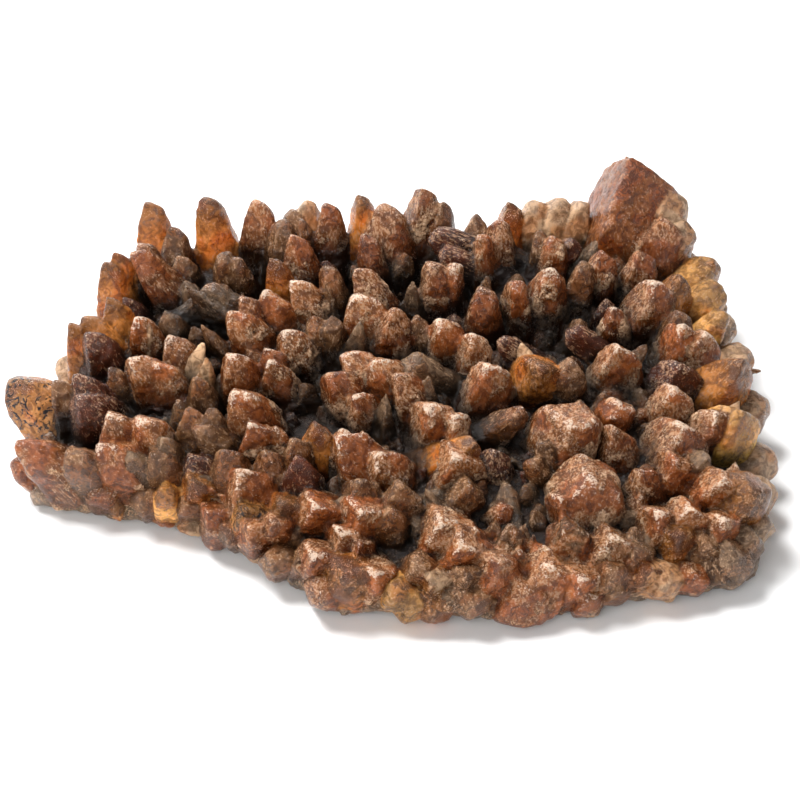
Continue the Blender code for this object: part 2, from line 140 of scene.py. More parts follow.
# Crystals by region, as in the part: tip x, y, z, width, lean right, lean back, habit and tone.
# Those without a habit are teeth.
BACK_ROW = [
    (-85, 75, 47, 14, -6, 6, "A"), (-85, 55, 44, 10, -10, 0, "R"), (-88, 50, 43, 15, -28, 0, "R"),
    (-96, 48, 41, 10, -12, 5, "A"), (-93, 52, 42, 9, -8, 5, "A"), (-76, 66, 43, 10, -5, 5, "O"),
    (-70, 34, 43, 9, -45, 0, "spire G"), (-66, 74, 50, 15, -8, 6, "A"),
    (-49, 75, 48, 12, -4, 6, "R"), (-25, 74, 48, 12, 0, 6, "R"), (-33, 70, 44, 7, 0, 8, "O"),
    (-14, 77, 48, 9, -4, 6, "A"), (-7, 73, 48, 18, -2, 6, "R"), (-13, 59, 45, 11, -10, 0, "R"),
    (-36, 57, 46, 13, -8, 4, "R"), (-40, 65, 46, 10, -5, 6, "stout O"),
    (-42, 44, 45, 9, -12, 0, "A"), (-35, 32, 45, 13, -25, -3, "F"), (-25, 38, 46, 12, -8, 0, "O"),
    (-15, 35, 47, 14, -22, -2, "R"), (-58, 48, 44, 8, -10, 0, "stout O"),
    (-53, 47, 43, 7, -8, 0, "stout O"), (-64, 36, 38, 7, -60, 10, "lying G"),
    (-55, 38, 39, 8, 50, 10, "lying G"), (-57, 33, 41, 5, -8, 0, "spire G"),
    (-50, 33, 41, 5, 2, 0, "spire G"), (7, 79, 50, 12, 3, 5, "R"), (14, 78, 45, 8, 5, 8, "O"),
    (36, 77, 46, 10, 5, 6, "A"), (25, 72, 44, 9, 10, 8, "O"), (44, 80, 44, 10, 0, 6, "stout P"),
    (52, 80, 45, 11, 5, 6, "stout P"), (60, 80, 44, 10, 10, 6, "stout P"),
    (31, 64, 47, 14, 0, 2, "R"), (25, 57, 46, 11, -4, -2, "R"), (49, 56, 46, 10, 4, 2, "R"),
    (45, 61, 45, 8, 2, 4, "O"), (57, 60, 42, 9, 40, 8, "lying M"), (58, 42, 45, 9, 6, 0, "O"),
    (46, 36, 47, 14.5, 2, -4, "F"), (35, 30, 46, 10, -2, -5, "R"), (25, 27, 46, 12, 0, -5, "R"),
    (9, 39, 47, 12.5, -6, -2, "R"), (17, 41, 45, 8, 10, 5, "stout F"),
    (28, 36, 46, 7, 5, 0, "spire G"), (9, 63, 40, 9, -68, 0, "lying M"),
    (12, 56, 38, 8, -64, 0, "lying M"), (4, 34, 45, 6, 0, 0, "spire G"),
]
BACK_RIGHT = [
    (76, 80, 62, 29, -1, 0, "broad B"), (90, 78, 48, 15, 14, 4, "stout P"),
    (95, 71, 42, 13, 28, 6, "stout P"), (76, 76, 44, 13, -4, 4, "stout O"),
    (87, 68, 45, 17, 6, 0, "R"), (78, 50, 44, 9, 2, -4, "R"), (65, 50, 44, 11, 4, -2, "R"),
    (81, 34, 43, 16, 4, -8, "F"), (67, 25, 40, 7, -5, -5, "F"), (90, 40, 41, 11, 14, -4, "A"),
    (104, 62, 32, 13, 38, 8, "stout Y"), (103, 46, 34, 12, 30, 4, "stout Y"),
    (103, 31, 33, 9, 25, -5, "stout Y"), (87, 23, 39, 10, 0, -8, "O"),
    (87, 14, 40, 13, 0, -14, "F"), (95, 13, 38, 13, 12, -14, "F"), (85, 0, 36, 14, 2, -18, "M"),
    (77, 9, 39, 7, 25, 0, "spire G"), (67, 3, 40, 14, 3, -14, "F"),
    (66, -17, 33, 10, 10, -25, "stout F"), (82, -14, 38, 12, 2, -14, "F"),
    (105, 1, 37, 15, 20, -12, "A"), (104, -10, 31, 9, 25, 0, "spire P"),
]
LEFT_FLANK = [
    (-93, 31, 39, 9, -12, 0, "A"), (-101, 25, 36, 10, -30, 0, "A"), (-104, 21, 36, 9, -12, -4, "A"),
    (-98, 14, 38, 13, -15, -8, "M"), (-121, -2, 31, 17, -42, 0, "D"),
    (-105, -9, 36, 9, -15, -5, "O"), (-99, -8, 38, 12, -20, -5, "M"),
    (-97, -17, 37, 15.5, -16, -18, "M"), (-89, -3, 37, 7, -15, -5, "O"),
    (-83, 0, 39, 15, -18, -10, "F"), (-76, -1, 37, 13, -14, -10, "F"),
    (-83, 21, 39, 11, -10, -5, "F"), (-78, 20, 38, 5, 10, 0, "spire P"),
    (-72, 11, 39, 13.5, -12, -5, "F"), (-62, -9, 38, 9, -8, -5, "O"), (-63, -23, 37, 8, -5, 0, "O"),
    (-67, -15, 34, 6, 0, 0, "G"), (-86, -27, 38, 10, -12, -15, "F"),
    (-77, -28, 37, 12, -12, -15, "F"), (-70, -33, 34, 6, -10, -10, "G"),
    (-62, -28, 34, 10, -40, -10, "O"), (-57, -24, 38, 6, -10, 0, "O"),
    (-115, -28, 28, 15, -38, -12, "R"), (-98, -36, 30, 11, -25, -25, "O"),
    (-89, -34, 31, 15, -30, -25, "F"), (-80, -35, 30, 7, -15, -15, "G"),
    (-73, -37, 31, 10, -15, -25, "O"), (-62, -37, 30, 10, -10, -20, "M"),
    (-69, -44, 22, 7, 0, -35, "stout Y"), (-61, -45, 27, 10, -10, -35, "A"),
    (-59, -41, 28, 7, -35, -10, "spire G"), (-56, -45, 26, 6, -20, -20, "spire F"),
    (-52, -46, 25, 6, 0, -20, "spire F"),
]
MIDDLE = [
    (-54, 19, 43, 13, -25, -5, "F"), (-63, 16, 41, 8, -30, 0, "spire O"),
    (-60, 9, 40, 5, 20, 10, "spire P"), (-59, 3, 39, 5, 5, 5, "spire P"),
    (-50, 24, 44, 9, -15, -2, "R"), (-43, 28, 44, 12, -18, -4, "F"), (-27, 16, 43, 8, -5, 0, "O"),
    (-21, 16, 43, 7, 3, 0, "O"), (-15, 23, 46, 16, -18, -6, "F"), (-12, 11, 46, 9, 6, 0, "spire G"),
    (-2, 16, 46, 12, 4, -5, "R"), (-36, 9, 42, 13, -14, -12, "F"), (-41, 1, 41, 8, -14, -12, "F"),
    (-40, -5, 41, 9, -12, -10, "F"), (-52, -3, 42, 12.5, -10, -10, "F"),
    (-18, -3, 42, 14, -30, -10, "F"), (-9, -5, 41, 12, -30, -8, "F"),
    (-22, -11, 41, 12, -22, -15, "R"), (-14, -17, 37, 11, -15, -15, "F"),
    (-4, -19, 41, 8, 5, 0, "spire G"), (-2, -13, 42, 13, -20, -10, "R"),
    (-50, -22, 42, 14.5, -20, -15, "F"), (-44, -34, 40, 10, -8, -18, "F"),
    (-37, -32, 37, 7, 0, -15, "F"), (-25, -33, 38, 9.5, 0, -12, "A"),
    (-31, -38, 37, 8.5, -5, -12, "O"), (-17, -33, 37, 8, 0, -5, "F"), (-11, -34, 37, 8, 5, -5, "F"),
    (5, 20, 40, 9, 0, 0, "O"), (12, 14, 43, 12, -12, -8, "F"), (22, 8, 42, 10.5, 4, -8, "F"),
    (30, 13, 35, 5.5, -55, 0, "lying M"), (36, 9, 40, 6, -22, 5, "spire P"),
    (42, -9, 42, 14, 0, -36, "A"), (52, -4, 41, 11.5, 12, -8, "O"),
    (52, 17, 36, 7, -50, 5, "lying M"), (26, -9, 43, 15, 0, -12, "F"),
    (36, -23, 36, 7, 32, -15, "stout O"), (9, -11, 42, 7, 5, 0, "spire G"),
    (8, -27, 41, 14, -6, -22, "F"), (16, -29, 39, 10, 5, -20, "F"),
    (22, -40, 37, 8.5, 34, -28, "A"), (54, -22, 41, 8, 15, 0, "spire G"),
    (50, -36, 40, 19, 0, -38, "block F"), (40, -38, 36, 6, -25, -15, "O"),
    (37, -44, 34, 6, -25, -25, "O"), (0, -2, 38, 10, -48, -5, "lying G"),
]
FRONT = [
    (-18, -37, 37, 15, -22, -14, "F"), (-7, -41, 34, 13, -15, -18, "F"),
    (-51, -40, 35, 9, -5, -10, "O"), (-39, -41, 35, 9, -5, -8, "O"), (-30, -43, 35, 9, -4, -8, "M"),
    (-46, -48, 34, 12.5, -8, -18, "F"), (-12, -51, 33, 10.5, 0, -12, "O"),
    (0, -55, 34, 9.5, 0, -18, "O"), (-15, -53, 30, 7, 25, -5, "spire G"),
    (-24, -60, 30, 12.5, -3, -40, "F"), (-11, -63, 31, 12.5, -3, -38, "F"),
    (-3, -60, 29, 7.5, 0, -15, "O"), (-34, -57, 29, 12, -5, -30, "A"),
    (-36, -62, 27, 8.5, -5, -40, "R"), (-45, -56, 27, 11, -8, -35, "D"),
    (-56, -52, 22, 12, -15, -35, "R"), (-43, -62, 24, 10, -10, -42, "R"),
    (-17, -67, 27, 11, -5, -30, "F"), (-11, -69, 25, 9, 8, -30, "R"),
    (-24, -75, 25, 11, -8, -40, "F"), (-29, -68, 19, 7, -10, -30, "O"),
    (-15, -79, 22, 13.5, 4, -42, "stout A"), (-7, -79, 22, 11, 5, -40, "F"),
    (16, -46, 37, 14, -2, -32, "F"), (20, -52, 31, 11, 15, -32, "O"),
    (6, -54, 34, 7, -28, 0, "spire G"), (27, -38, 33, 10, 0, -10, "M"),
    (12, -66, 31, 17, -4, -30, "F"), (21, -66, 27, 10, 15, -25, "F"),
    (17, -74, 28, 14, 0, -40, "F"), (23, -70, 25, 9, 15, -35, "F"), (28, -77, 25, 13, 15, -30, "R"),
    (4, -77, 24, 9, -5, -38, "O"), (34, -80, 17, 17, 0, -40, "block R"),
    (42, -76, 22, 17, 5, -32, "block F"), (51, -78, 19, 12.5, 8, -40, "F"),
    (34, -70, 22, 7.5, 0, -10, "O"), (34, -63, 24, 6, 0, 0, "spire O"),
    (38, -64, 25, 6.5, 0, 0, "spire O"), (41, -69, 24, 6, 5, 0, "spire O"),
    (47, -64, 28, 10, -10, -15, "O"), (31, -64, 27, 7, 0, -5, "O"),
    (54, -55, 36, 19, 2, -30, "block F"), (45, -58, 32, 12, -18, -25, "F"),
    (55, -49, 37, 5, 0, 5, "spire G"), (63, -30, 35, 12, -2, -12, "R"),
    (99, -38, 30, 9, 5, -10, "spire F"), (94, -23, 35, 12, 5, -22, "F"),
    (102, -22, 35, 14.5, 16, -18, "Y"), (83, -30, 35, 17, 2, -24, "F"),
    (90, -38, 31, 11, 30, -20, "G"), (80, -41, 32, 14.5, -4, -30, "R"),
    (70, -45, 31, 9, -12, -20, "R"), (93, -50, 31, 13.5, 2, -32, "F"),
    (102, -52, 29, 15, 18, -38, "stout A"), (93, -60, 25, 10, 8, -35, "F"),
    (74, -60, 28, 12.5, 0, -30, "F"), (83, -58, 28, 12, 5, -28, "F"),
    (60, -68, 26, 13.5, -2, -28, "F"), (67, -69, 22, 9, 0, -30, "O"),
    (79, -66, 24, 11.5, 2, -40, "A"), (88, -65, 20, 12, 12, -40, "O"),
]
RIM = [
    (-111, 30, 15, 12, -52, 0, "stout P"), (-113, 17, 13, 10, -55, -4, "stout P"),
    (-109, 6, 17, 11, -45, -4, "stout P"), (-118, -22, 15, 11, -50, -20, "stout R"),
    (-102, 46, 18, 12, -45, 15, "stout A"), (-90, 68, 22, 12, -25, 30, "stout A"),
    (-1, -81, 16, 9, -5, -52, "stout Y"), (4, -82, 14, 6.5, 4, -52, "stout Y"),
    (3, -82, 10, 8, 0, -62, "stout Y"), (10, -82, 11, 9, 0, -58, "stout A"),
    (9, -80, 20, 10.5, 0, -46, "P"), (19, -79, 22, 10, 0, -42, "O"),
    (14, -82, 14, 7, 0, -55, "stout G"), (21, -83, 14, 10, 2, -58, "stout O"),
    (60, -75, 20, 10, 0, -35, "O"), (70, -73, 18, 9.5, 0, -42, "A"),
    (76, -73, 14, 10, 0, -50, "stout P"), (84, -71, 13, 10, 5, -50, "stout R"),
    (61, -76, 12, 7, 0, -50, "O"), (53, -78, 12, 8, 0, -45, "stout F"),
    (97, -66, 16, 13, 22, -40, "stout G"), (103, -58, 16, 12, 38, -30, "stout G"),
    (-63, -45, 18, 8, -10, -45, "stout O"), (-50, -55, 17, 9, -15, -48, "stout O"),
    (-36, -67, 16, 9, -12, -48, "stout O"), (-22, -79, 15, 11, -8, -55, "stout R"),
    (-90, -37, 17, 9, -15, -48, "stout R"), (-76, -41, 16, 9, -10, -48, "stout O"),
    (114, -18, 15, 13, 56, 0, "stout P"), (112, -33, 14, 14, 52, -12, "stout P"),
    (108, -47, 14, 13, 44, -26, "stout P"), (114, 2, 20, 13, 46, 0, "stout P"),
    (112, 26, 22, 10, 48, 2, "stout P"), (108, 40, 24, 10, 42, 6, "stout P"),
    (107, 60, 20, 12, 45, 14, "stout P"), (98, 81, 24, 13, 30, 28, "stout P"),
    (68, 88, 24, 13, 0, 35, "stout P"), (34, 82, 24, 13, 0, 35, "stout P"),
    (-8, 79, 24, 13, 0, 32, "stout A"), (-38, 79, 24, 13, -4, 32, "stout A"),
    (-66, 77, 24, 13, -10, 32, "stout A"), (15, 80, 22, 12, 4, 36, "stout P"),
    (-31, 80, 44, 7, -2, 8, "stout P"), (-36, 78, 42, 8, -4, 8, "stout O"),
]
# Deeper crystals seen between the tall ones, all teeth
GAPS = [
    (-73, 58, 40, 10, -12, 4), (-70, 47, 38, 9, -14, 2), (-25, 58, 38, 9, -4, 2), (-22, 47, 38, 8, 3, 0),
    (1, 62, 39, 9, 6, 4), (18, 68, 40, 9, 4, 6), (38, 50, 38, 9, 2, 0), (65, 66, 40, 10, 8, 6),
    (66, 36, 38, 9, 4, 0), (72, 60, 38, 9, 0, 2), (57, 26, 38, 10, 6, -4), (-75, 30, 38, 10, -15, 0),
    (-66, 24, 36, 9, -10, -4), (-85, 8, 33, 10, -12, -8), (-89, 40, 36, 10, -16, 0),
    (-47, 10, 37, 10, -12, -4), (-30, -4, 35, 9, -5, -8), (-45, -14, 35, 10, -8, -10),
    (-30, 24, 37, 10, -8, -2), (3, 4, 35, 9, 2, -5), (36, 18, 36, 9, 3, -4), (36, -2, 32, 9, 0, -6),
    (53, 8, 36, 10, 4, -8), (15, 0, 34, 10, 0, -8), (62, -8, 34, 9, 4, -10), (74, -2, 31, 9, 4, -10),
    (17, 28, 38, 9, 2, -2), (-4, 28, 37, 9, 0, -2), (-8, 45, 38, 9, -4, 0), (70, 14, 35, 9, 4, -6),
    (20, -30, 30, 10, 0, -8), (30, -26, 27, 9, 0, -5), (-24, -48, 28, 9, -3, -10),
    (-34, -24, 27, 9, -2, -8), (40, -50, 26, 9, -4, -8), (66, -52, 25, 10, 0, -14),
    (71, -26, 27, 10, 2, -10), (75, -38, 25, 9, 0, -15),
]
GAP_TONES = "OGMROG"

# Regions: name, rows, fullness of the widths, slant of the tips to the left in degrees
REGIONS = [
    ("back_row", BACK_ROW, 1.16, 16), ("back_right", BACK_RIGHT, 1.22, 4),
    ("left_flank", LEFT_FLANK, 1.2, 8), ("middle", MIDDLE, 1.22, 6), ("front", FRONT, 1.3, 3),
    ("rim", RIM, 1.3, 0),
]

# Lowest height of a crystal, hidden in the crust, by how far its root lies in from the edge
CRUST_DEPTHS = ((8.0, 14.0, 46.0), (1.5, 9.0, 17.0))

# Height of the crust's upper side, by how far a place lies in from the edge
CRUST_TOP = ((5.0, 8.0, 42.0), (8.0, 14.0, 22.0))

# Looks: side that crust and clear windows favour, tint of the windows, how far the striation is
# drawn out along a crystal, and depths below the tips' level between which painted shade darkens the gaps
LOW_SIDE = (0.55, -0.45, -0.55)
WINDOW_TINT = (0.30, 0.02, -0.22)
GRAIN = 0.78
GAP_SHADE_DEPTHS = (3.0, 15.0)

# Material: noise scales per metre, and colours in linear light
FINE_SCALE = 1500.0
BROAD_SCALE = 400.0
CRUST_SCALE = 1250.0
SPECK_SCALE = 380.0
GLOSS_SCALE = 700.0
FACET_SCALE = 2200.0
DARKER = (0.60, 0.52, 0.46, 1.0)
LIGHTER = (1.45, 1.40, 1.35, 1.0)
FLECKS = (0.58, 0.36, 0.21, 1.0)
# White frost with painted highlight on the tips, ridges and upward faces
FROST_AND_HIGHLIGHT = (0.70, 0.53, 0.40, 1.0)
SPECKS = (0.012, 0.007, 0.005, 1.0)
CRUST_STOPS = [
    (0.38, (0.040, 0.014, 0.007)), (0.54, (0.60, 0.37, 0.21)),
    (0.44, (0.34, 0.17, 0.080)), (0.66, (0.86, 0.65, 0.46)),
]
ROUGHNESS = (0.08, 0.24)
REFRACTION = 1.58
SPECULAR = 0.30
BUMP_STRENGTH = 0.8
BUMP_DEPTH = 0.0010
ABSORBED = (0.80, 0.42, 0.14, 1.0)
ABSORPTION = 130.0

# Studio: floor and its grey, world light, and lamps by name, place, size and power, in metres and watts
FLOOR_HALF = 2.5
FLOOR_GREY = 0.93
WORLD_LIGHT = 0.30
LAMP_AIM = (0, 0, 0.02)
LAMPS = [
    ("key", (-0.40, 0.05, 0.95), 0.42, 16.5),
    ("back", (-0.25, 0.80, 0.45), 0.6, 9.0),
    ("front", (-0.25, -0.75, 0.55), 0.6, 4.5),
]

# Dark open clefts between the crystals: x, y, radius, and how much lower their crystals end
CLEFT_DROP = 9.0
CLEFTS = [(34, -38, 13), (38, -50, 8), (27, -27, 8), (-32, -26, 5), (60, 12, 5)]


def unit(vector):
    """Vector of the same direction and length one."""
    return vector / np.linalg.norm(vector)


def direction(lean_right, lean_back):
    """Unit axis of a crystal from its two leans, in degrees."""
    return unit(np.array([math.tan(math.radians(lean_right)), math.tan(math.radians(lean_back)), 1.0]))


def beside(axis):
    """Two directions square to an axis and to each other."""
    across = unit(np.cross(axis, [0.0, 1.0, 0.0]))
    return across, np.cross(axis, across)


def crystal_faces(index, row):
    """Faces of one crystal as outward normals and offsets, by the part's own rule."""
    x, y, z, width, lean_right, lean_back, habit, slant = row
    rule = HABITS[habit]
    chance = random.Random(index * 31 + 7)
    tip = np.array([x, y, z], float)
    axis = direction(lean_right, lean_back)
    across, up = beside(axis)
    spin = SPIN + chance.uniform(-SPIN_SPREAD, SPIN_SPREAD)
    normals = []
    offsets = []

    def add(azimuth, tilt, distance=0.0, depth=0.0):
        """Face turned to an azimuth and tilted up, through a point beside the axis."""
        a, t = math.radians(azimuth), math.radians(tilt)
        out = math.cos(a) * across + math.sin(a) * up
        normal = math.cos(t) * out + math.sin(t) * axis
        normals.append(normal)
        offsets.append(float(normal @ (tip - depth * axis + distance * out)))

    if habit == "spire":
        for turn in SPIRE_AZIMUTHS:
            far = rule["flat"] if turn % 180 == 0 else 1.0
            tilt = math.degrees(math.atan(0.5 * far / SPIRE_ASPECT))
            tilt += chance.uniform(-SPIRE_SPREAD, SPIRE_SPREAD)
            add(spin + turn + chance.uniform(-TIP_TWIST, TIP_TWIST), tilt)
    else:
        sides = 6 if width >= SIX_SIDED_WIDTH else 5
        for side in range(sides):
            far = 0.5 * width * chance.uniform(1 - WIDTH_SPREAD, 1 + WIDTH_SPREAD)
            if side % 3 == 0:
                far *= rule["flat"]
            turn = spin + 30 + 360 * side / sides + chance.uniform(-SIDE_TWIST, SIDE_TWIST)
            taper = rule["taper"] + chance.uniform(-TAPER_SPREAD, TAPER_SPREAD)
            add(turn, taper, far, WAIST * width)
        axis = direction(lean_right - slant, lean_back)
        across, up = beside(axis)
        for turn in TIP_AZIMUTHS:
            azimuth = spin + turn + chance.uniform(-TIP_TWIST, TIP_TWIST)
            slope = rule["slope"] + chance.uniform(-SLOPE_SPREAD, SLOPE_SPREAD)
            add(azimuth, slope, depth=-TIP_RISE * width * chance.random())
        if width >= CAPPED_WIDTH:
            add(chance.uniform(0, 360), CAP_TILT, depth=rule["cap"] * width)

    axis = direction(lean_right, lean_back)
    length = min((z - ROOT_HEIGHT) / axis[2], rule["reach"] * width + EXTRA_LENGTH)
    normals.append(-axis)
    offsets.append(float(-axis @ (tip - length * axis)))
    normals.append(np.array([0.0, 0.0, -1.0]))
    offsets.append(-LOWEST_POINT)
    return np.array(normals), np.array(offsets)


class Crystal:
    """A convex body with soft edges round a middle point, and the look of its surface."""

    def __init__(self, index, row, tone):
        x, y, z, width, lean_right, lean_back, habit, _ = row
        self.index = index
        self.width = width
        self.habit = habit
        self.tone = tone
        self.tip = np.array([x, y, z], float)
        self.axis = direction(lean_right, lean_back)
        self.crisp = HABITS[habit]["crisp"] + (SHARPER if y < SHARP_Y or x > SHARP_X else 0)
        self.normals, offsets = crystal_faces(index, row)
        if habit in ("tooth", "stout"):
            offsets[:-2] += TIP_LIFT * width * (self.normals[:-2] @ self.axis)
        root = self.tip - self.axis * (z - ROOT_HEIGHT) / self.axis[2]
        inside = edge_reach(np.array([self.tip, root])).min()
        floor = float(np.interp(inside, *CRUST_DEPTHS))
        offsets[-1] = -min(floor, z - 12.0) if inside > 8.0 else offsets[-1]
        self.middle = self.tip - self.axis * width * (1.3 if habit == "spire" else 1.0)
        self.middle[2] = max(self.middle[2], 1.0 - offsets[-1])
        self.reach = np.maximum(offsets - self.normals @ self.middle, 0.25)

    def measure(self, points):
        """1 on the crystal's surface, less inside and more outside."""
        facing = (points - self.middle) @ self.normals.T / self.reach
        return (np.maximum(facing, 0.0) ** self.crisp).sum(axis=1) ** (1.0 / self.crisp)

    def surface(self, ball):
        """Points of the surface along the directions of a ball stretched along the axis."""
        along = ball @ self.axis
        rays = ball + (STRETCH - 1.0) * along[:, None] * self.axis
        scale = 1.0 / self.measure(self.middle + rays)
        ripple = RIPPLE * noise(ball * RIPPLE_COUNT + self.index, 1.0, self.index)
        return self.middle + rays * (scale * (SWELLING + ripple))[:, None]


class Chip:
    """A small broken piece of crust: a random convex body."""

    def __init__(self, seed, middle, size, tone):
        chance = np.random.default_rng(seed)
        self.index = seed
        self.width = size * 2
        self.tone = tone
        self.middle = np.array(middle, float)
        self.tip = self.middle + [0, 0, size]
        self.axis = np.array([0.0, 0.0, 1.0])
        frame_of = np.linalg.qr(chance.normal(size=(3, 3)))[0]
        skew = frame_of + 0.25 * chance.normal(size=(3, 3))
        skew /= np.linalg.norm(skew, axis=1)[:, None]
        self.normals = np.vstack([skew, -skew])
        self.reach = size * chance.uniform(0.55, 1.0, 6)
        self.crisp = CHIP_CRISP

    measure = Crystal.measure

    def surface(self, ball):
        return self.middle + ball / self.measure(self.middle + ball)[:, None]


def hashed(i, j, k, seed):
    """Repeatable values in 0..1 at whole-number points."""
    mask = np.uint64(0xFFFFFFFF)
    n = i.astype(np.uint64) * np.uint64(73856093)
    n ^= j.astype(np.uint64) * np.uint64(19349663)
    n ^= k.astype(np.uint64) * np.uint64(83492791)
    n ^= np.uint64((seed * 2654435761) & 0xFFFFFFFF)
    n &= mask
    n = ((n ^ (n >> np.uint64(15))) * np.uint64(2246822519)) & mask
    n = ((n ^ (n >> np.uint64(13))) * np.uint64(3266489917)) & mask
    return (n ^ (n >> np.uint64(16))).astype(float) / 0xFFFFFFFF


def chance_of(number, seed):
    """Repeatable value in 0..1 for a whole number."""
    return float(hashed(*(np.array([number + n]) for n in range(3)), seed)[0])


def noise(points, size, seed):
    """Smooth noise in -1..1 with bumps of the given size."""
    place = points / size
    cell = np.floor(place)
    part = place - cell
    part = part * part * (3.0 - 2.0 * part)
    i, j, k = cell.astype(np.int64).T
    total = 0.0
    for corner in range(8):
        a, b, c = corner & 1, corner >> 1 & 1, corner >> 2
        weight = (part[:, 0] if a else 1 - part[:, 0]) * (part[:, 1] if b else 1 - part[:, 1])
        weight = weight * (part[:, 2] if c else 1 - part[:, 2])
        total = total + weight * hashed(i + a, j + b, k + c, seed)
    return total * 2.0 - 1.0


def layered(points, size, seed, layers=3):
    """Noise with finer and weaker layers added."""
    total = sum(noise(points, size / 2 ** n, seed + n) / 2 ** n for n in range(layers))
    return total / (2.0 - 2.0 ** (1 - layers))


def smoothstep(low, high, value):
    """0 below the low value, 1 above the high one and smooth between them."""
    t = np.clip((value - low) / (high - low), 0.0, 1.0)
    return t * t * (3.0 - 2.0 * t)


def ball(level):
    """Directions and triangles of a round ball."""
    work = bmesh.new()
    bmesh.ops.create_icosphere(work, subdivisions=level, radius=1.0)
    points = np.array([v.co for v in work.verts], float)
    faces = np.array([[v.index for v in f.verts] for f in work.faces])
    work.free()
    return points, faces


BALLS = {level: ball(level) for level in (3, 4)}


def joined(crystals):
    """Points and triangles of many crystals, each a closed body of its own."""
    points, faces = [], []
    start = 0
    for crystal in crystals:
        level = 4 if crystal.width > 9.0 else 3
        directions, triangles = BALLS[level]
        points.append(crystal.surface(directions))
        faces.append(triangles + start)
        start += len(directions)
    return np.vstack(points), np.vstack(faces)


def mesh_from(name, points, faces):
    """Mesh datablock from arrays of points and of equal-sided faces."""
    mesh = bpy.data.meshes.new(name)
    sides = faces.shape[1]
    mesh.vertices.add(len(points))
    mesh.vertices.foreach_set("co", points.astype(np.float32).ravel())
    mesh.loops.add(faces.size)
    mesh.loops.foreach_set("vertex_index", faces.astype(np.int32).ravel())
    mesh.polygons.add(len(faces))
    mesh.polygons.foreach_set("loop_start", np.arange(0, faces.size, sides, dtype=np.int32))
    mesh.update(calc_edges=True)
    return mesh


def shaped(name, points, faces, kind, **settings):
    """Points and corners of the faces of a mesh after one modifier."""
    mesh = mesh_from(name, points, faces)
    made = bpy.data.objects.new(name, mesh)
    bpy.context.scene.collection.objects.link(made)
    modifier = made.modifiers.new(kind.lower(), kind)
    for key, value in settings.items():
        setattr(modifier, key, value)
    view = bpy.context.evaluated_depsgraph_get()
    result = bpy.data.meshes.new_from_object(made.evaluated_get(view))
    co = np.empty(len(result.vertices) * 3, np.float32)
    result.vertices.foreach_get("co", co)
    corners = np.empty(len(result.loops), np.int32)
    result.loops.foreach_get("vertex_index", corners)
    bpy.data.objects.remove(made)
    bpy.data.meshes.remove(mesh)
    bpy.data.meshes.remove(result)
    return co.reshape(-1, 3).astype(float), corners


def fused(name, points, faces, voxel):
    """Outer skin of overlapping closed bodies, as points and four-sided faces."""
    points, corners = shaped(name, points, faces, "REMESH", mode="VOXEL", voxel_size=voxel)
    return points, corners.reshape(-1, 4)


def thinned(name, points, faces, triangles):
    """Skin with fewer triangles, small where the surface is rough and larger where it is even."""
    ratio = min(1.0, triangles / (2 * len(faces)))
    points, corners = shaped(name, points, faces, "DECIMATE", ratio=ratio, use_collapse_triangulate=True)
    corners = corners.reshape(-1, 3)
    _, kind, uses = np.unique(np.sort(corners, axis=1), axis=0, return_inverse=True, return_counts=True)
    return points, corners[uses[kind.ravel()] == 1]


def normals_of(points, faces):
    """Unit normals of the points of a three-sided or four-sided mesh."""
    a, b, c, d = (points[faces[:, n]] for n in (0, 1, 2, -1))
    face = np.cross(c - a, d - b)
    total = np.zeros_like(points)
    for n in range(faces.shape[1]):
        for axis in range(3):
            total[:, axis] += np.bincount(faces[:, n], face[:, axis], len(points))
    return total / np.maximum(np.linalg.norm(total, axis=1), 1e-12)[:, None]


def smoothed(points, faces, strength, rounds):
    """Points drawn towards the middle of their neighbours."""
    count = np.bincount(faces.ravel(), minlength=len(points)).astype(float)
    sides = faces.shape[1]
    for _ in range(rounds):
        total = np.zeros_like(points)
        for n in range(sides):
            both = points[faces[:, (n + 1) % sides]] + points[faces[:, n - 1]]
            for axis in range(3):
                total[:, axis] += np.bincount(faces[:, n], both[:, axis], len(points))
        points = points + strength * (total / (2 * count)[:, None] - points)
    return points


def owners(points, bodies):
    """Number of the body whose surface each point lies on, and its depth below that tip."""
    best = np.full(len(points), 1e9)
    owner = np.zeros(len(points), int)
    for number, body in enumerate(bodies):
        reach = body.width * 3.4
        near = np.nonzero(np.all(np.abs(points - body.middle) < reach, axis=1))[0]
        if not len(near):
            continue
        gap = np.abs(body.measure(points[near]) - 1.0) * body.reach.min()
        closer = gap < best[near]
        best[near[closer]] = gap[closer]
        owner[near[closer]] = number
    tips = np.array([body.tip for body in bodies])[owner]
    axes = np.array([body.axis for body in bodies])[owner]
    widths = np.array([body.width for body in bodies])[owner]
    depth = ((tips - points) * axes).sum(axis=1) / widths
    return owner, depth


def edge_reach(points):
    """How far points lie in from the crust's edge, along lines from the middle."""
    edge = np.array(PLATE + PLATE[:1], float)
    steps = np.linspace(0, 1, 12, endpoint=False)[:, None]
    edge = np.vstack([(1 - steps) * a + steps * b for a, b in zip(edge[:-1], edge[1:])])
    angles = np.arctan2(edge[:, 1], edge[:, 0])
    order = np.argsort(angles)
    limit = np.interp(np.arctan2(points[:, 1], points[:, 0]), angles[order],
                      np.hypot(*edge[order].T), period=2 * math.pi)
    return limit - np.hypot(points[:, 0], points[:, 1])


